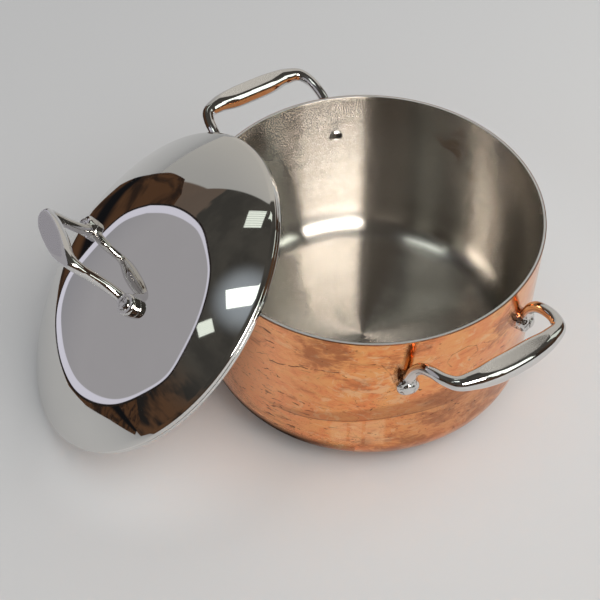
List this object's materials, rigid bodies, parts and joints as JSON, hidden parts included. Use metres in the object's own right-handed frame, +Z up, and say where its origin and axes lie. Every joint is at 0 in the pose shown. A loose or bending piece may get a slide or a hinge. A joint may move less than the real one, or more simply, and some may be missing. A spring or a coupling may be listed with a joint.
{
  "type": "tri-ply cooking pot",
  "caption": "Straight-sided cooking pot with a copper outside and steel inside, riveted loop side handles, and a domed lid with a loop handle that leans on its rim.",
  "frame": {"origin": "centre of the pot's flat base, on the surface that it stands on", "axes": "+Z up along the pot's axis; the side handles are on +X and -X; the lid leans on the -Y side"},
  "size_m": [0.3546, 0.3661, 0.1691],
  "materials": {
    "copper": "polished copper, lightly tarnished",
    "aluminium": "plain, seen only at the rim",
    "liner_steel": "circumferentially brushed",
    "cast_steel": "cast, polished, satin pad",
    "lid_steel": "mirror polished stainless steel",
    "rivet_steel": "polished domed heads"
  },
  "bodies": {
    "pot": {"copper_shell": "copper", "aluminium_core": "aluminium", "steel_liner": "liner_steel", "right_handle": "cast_steel", "left_handle": "cast_steel", "right_front_rivet": "rivet_steel", "right_back_rivet": "rivet_steel", "left_front_rivet": "rivet_steel", "left_back_rivet": "rivet_steel"},
    "lid": {"lid_shell": "lid_steel", "lid_handle": "cast_steel", "lid_left_rivet": "rivet_steel", "lid_right_rivet": "rivet_steel"}
  },
  "joints": [
    {"name": "lid_lift", "type": "slide", "parent": "pot", "child": "lid", "axis": [0, 0, 1], "range_m": [0, 0.17]}
  ]
}
